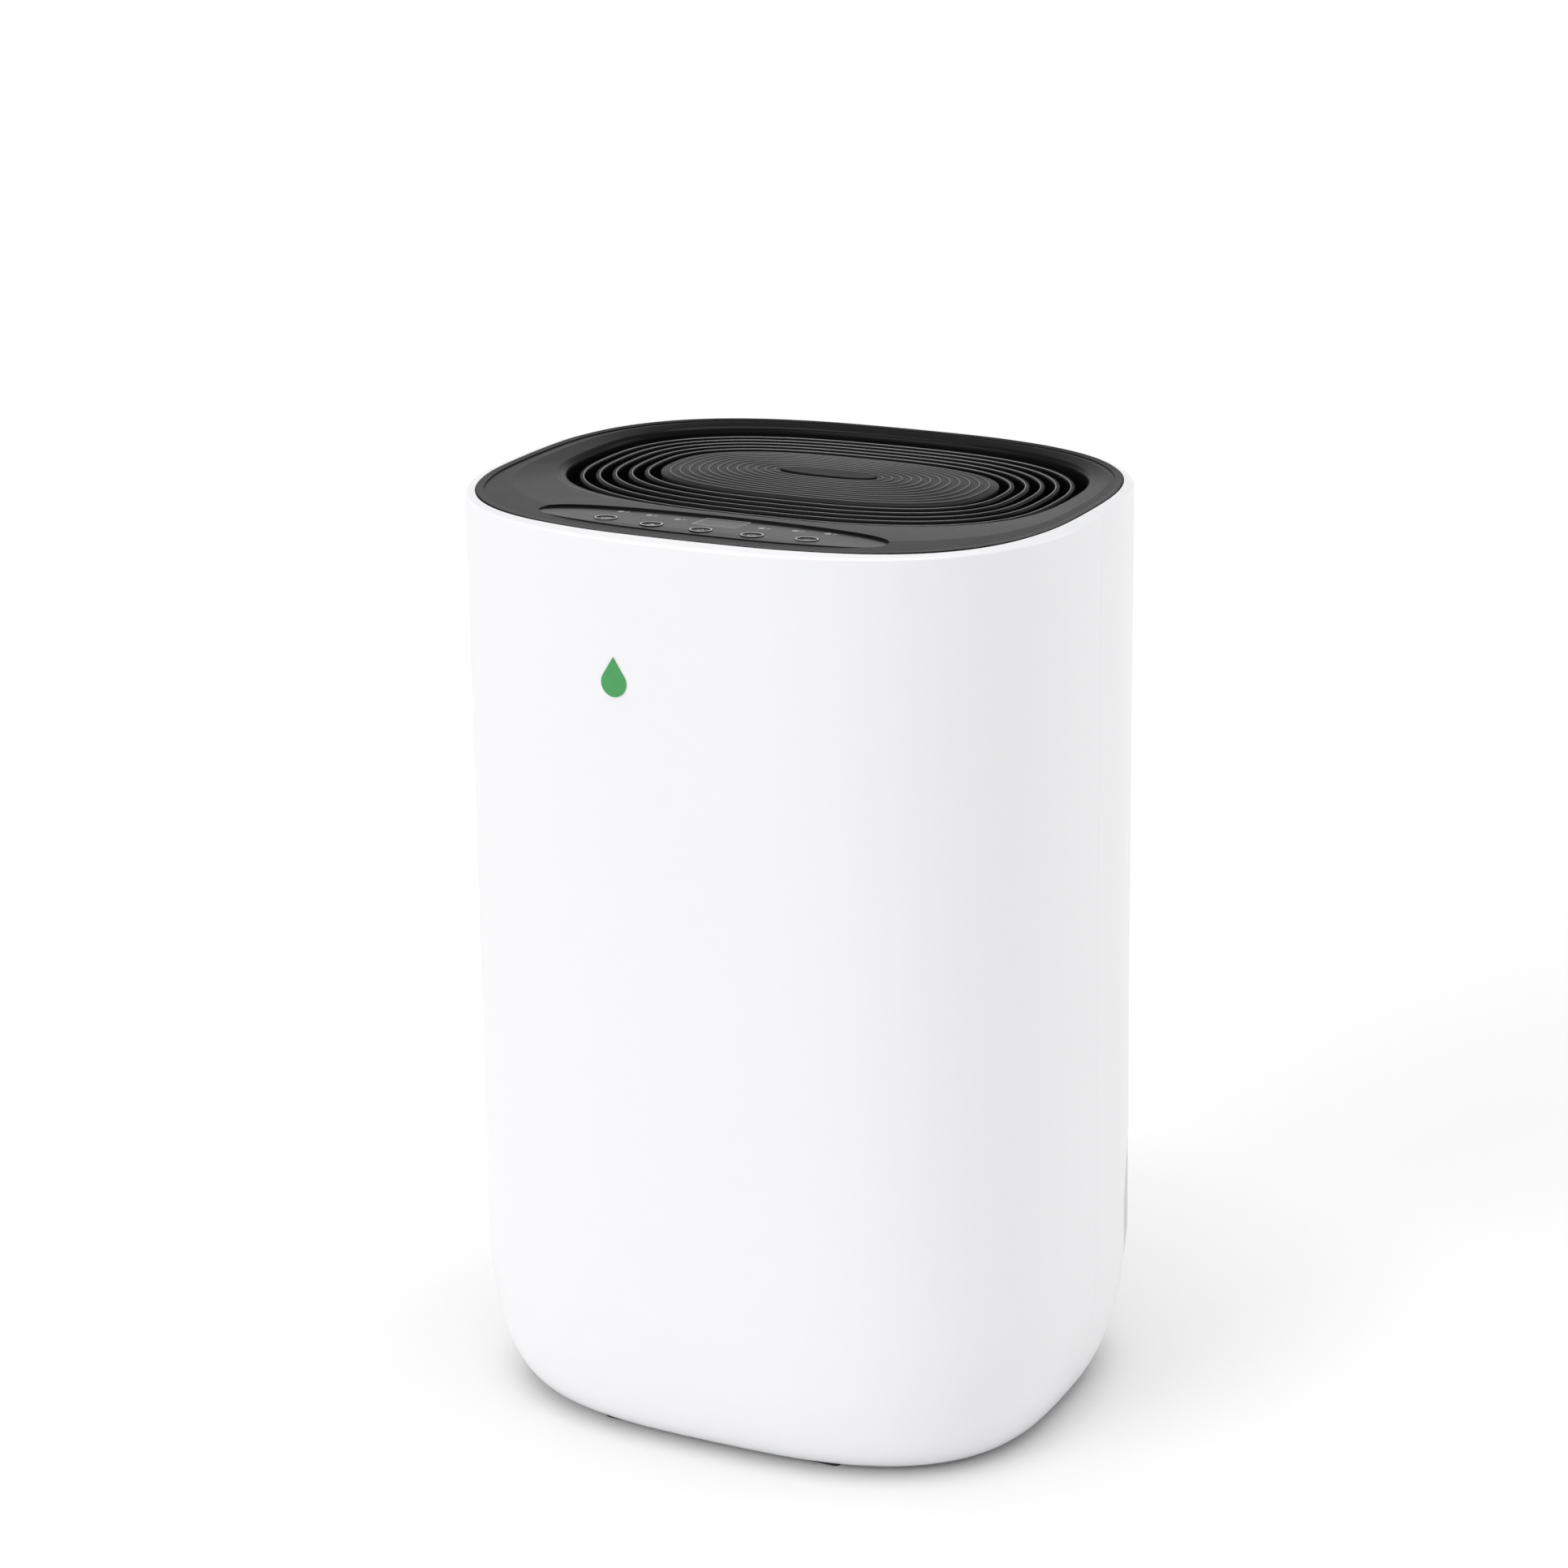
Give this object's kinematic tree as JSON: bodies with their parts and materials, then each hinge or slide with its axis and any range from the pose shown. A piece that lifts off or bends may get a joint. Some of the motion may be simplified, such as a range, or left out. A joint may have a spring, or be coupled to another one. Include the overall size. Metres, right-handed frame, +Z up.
{
  "type": "dehumidifier",
  "caption": "Compressor dehumidifier in a rounded white casing with a ringed black top outlet, a control strip, a rear intake cover and a pull-out water tank.",
  "frame": {"origin": "on the floor under the middle of the casing", "axes": "+Z up, front with the badge and control strip towards -Y, +X to the viewer's right"},
  "size_m": [0.2948, 0.2452, 0.4328],
  "materials": {
    "white_case": "glossy white moulded plastic",
    "black_panel": "fine satin black moulding",
    "overlay": "satin black membrane with pale printed marks",
    "button_black": "satin black caps with a brighter ring",
    "display_smoke": "smoked display window",
    "lens_clear": "clear light pipes",
    "badge_green": "plain green drop",
    "pcb_green": "printed circuit board",
    "switch_black": "small black mouldings",
    "inner_grey": "unpainted grey inner moulding",
    "fan_grey": "dark fan wheel and air duct mouldings",
    "rubber_black": "matt rubber",
    "screw_steel": "zinc-plated steel",
    "fin_aluminium": "thin bright aluminium",
    "copper": "copper tube",
    "compressor_black": "black painted steel can",
    "motor_steel": "motor can",
    "filter_frame_grey": "dark grey filter frame",
    "filter_net": "fine nylon dust net",
    "tank_smoke": "translucent smoke-grey tank",
    "float_white": "foam float",
    "magnet_dark": "ferrite magnet"
  },
  "bodies": {
    "casing": {"front_shell": "white_case", "rear_shell": "white_case", "top_panel": "black_panel", "outlet_grille": "black_panel", "grille_plate": "black_panel", "grille_plaque": "black_panel", "control_overlay": "overlay", "display_window": "display_smoke", "indicator_lenses": "lens_clear", "front_badge": "badge_green", "control_board": "pcb_green", "main_board": "pcb_green", "tact_switches": "switch_black", "display_module": "switch_black", "humidity_sensor": "switch_black", "tank_sensor": "switch_black", "base_pan": "inner_grey", "bay_partition": "inner_grey", "coil_pan": "inner_grey", "board_box": "inner_grey", "fan_scroll": "fan_grey", "fan_inlet_plate": "fan_grey", "outlet_duct": "fan_grey", "foot_front_left": "rubber_black", "foot_front_right": "rubber_black", "foot_rear_left": "rubber_black", "foot_rear_right": "rubber_black", "compressor_grommets": "rubber_black", "cord_gland": "rubber_black", "drain_spout": "rubber_black", "base_screws": "screw_steel", "compressor_bolts": "screw_steel", "motor_screws": "screw_steel", "evaporator_fins": "fin_aluminium", "condenser_fins": "fin_aluminium", "coil_end_plates": "fin_aluminium", "run_capacitor": "fin_aluminium", "evaporator_tube": "copper", "condenser_tube": "copper", "suction_line": "copper", "discharge_line": "copper", "capillary_tubes": "copper", "filter_drier": "copper", "compressor": "compressor_black", "fan_motor": "motor_steel"},
    "tank": {"tank_cover": "white_case", "tank_bucket": "tank_smoke", "tank_lid": "tank_smoke"},
    "float": {"tank_float": "float_white", "float_magnet": "magnet_dark"},
    "intake_cover": {"intake_cover": "white_case", "filter_frame": "filter_frame_grey", "filter_mesh": "filter_net"},
    "fan_wheel": {"fan_impeller": "fan_grey", "motor_shaft": "screw_steel"},
    "button_timer": {"button_timer": "button_black"},
    "button_fan": {"button_fan": "button_black"},
    "button_humidity": {"button_humidity": "button_black"},
    "button_power": {"button_power": "button_black"},
    "button_mode": {"button_mode": "button_black"}
  },
  "joints": [
    {"name": "tank_pull", "type": "slide", "parent": "casing", "child": "tank", "axis": [0, 1, 0], "range_m": [0, 0.13]},
    {"name": "float_rise", "type": "hinge", "parent": "tank", "child": "float", "pos_m": [-0.088, 0.03, 0.122], "axis": [1, 0, 0], "range_deg": [0, 12]},
    {"name": "intake_tilt", "type": "hinge", "parent": "casing", "child": "intake_cover", "pos_m": [0, 0.1185, 0.166], "axis": [-1, 0, 0], "range_deg": [0, 20]},
    {"name": "fan_spin", "type": "hinge", "parent": "casing", "child": "fan_wheel", "pos_m": [0, -0.007, 0.285], "axis": [0, 1, 0], "continuous": true},
    {"name": "press_timer", "type": "slide", "parent": "casing", "child": "button_timer", "axis": [0, -0.0688, -0.9976], "range_m": [0, 0.0008], "stiffness_N_per_m": 400},
    {"name": "press_fan", "type": "slide", "parent": "casing", "child": "button_fan", "axis": [0, -0.0688, -0.9976], "range_m": [0, 0.0008], "stiffness_N_per_m": 400},
    {"name": "press_humidity", "type": "slide", "parent": "casing", "child": "button_humidity", "axis": [0, -0.0688, -0.9976], "range_m": [0, 0.0008], "stiffness_N_per_m": 400},
    {"name": "press_power", "type": "slide", "parent": "casing", "child": "button_power", "axis": [0, -0.0688, -0.9976], "range_m": [0, 0.0008], "stiffness_N_per_m": 400},
    {"name": "press_mode", "type": "slide", "parent": "casing", "child": "button_mode", "axis": [0, -0.0688, -0.9976], "range_m": [0, 0.0008], "stiffness_N_per_m": 400}
  ]
}
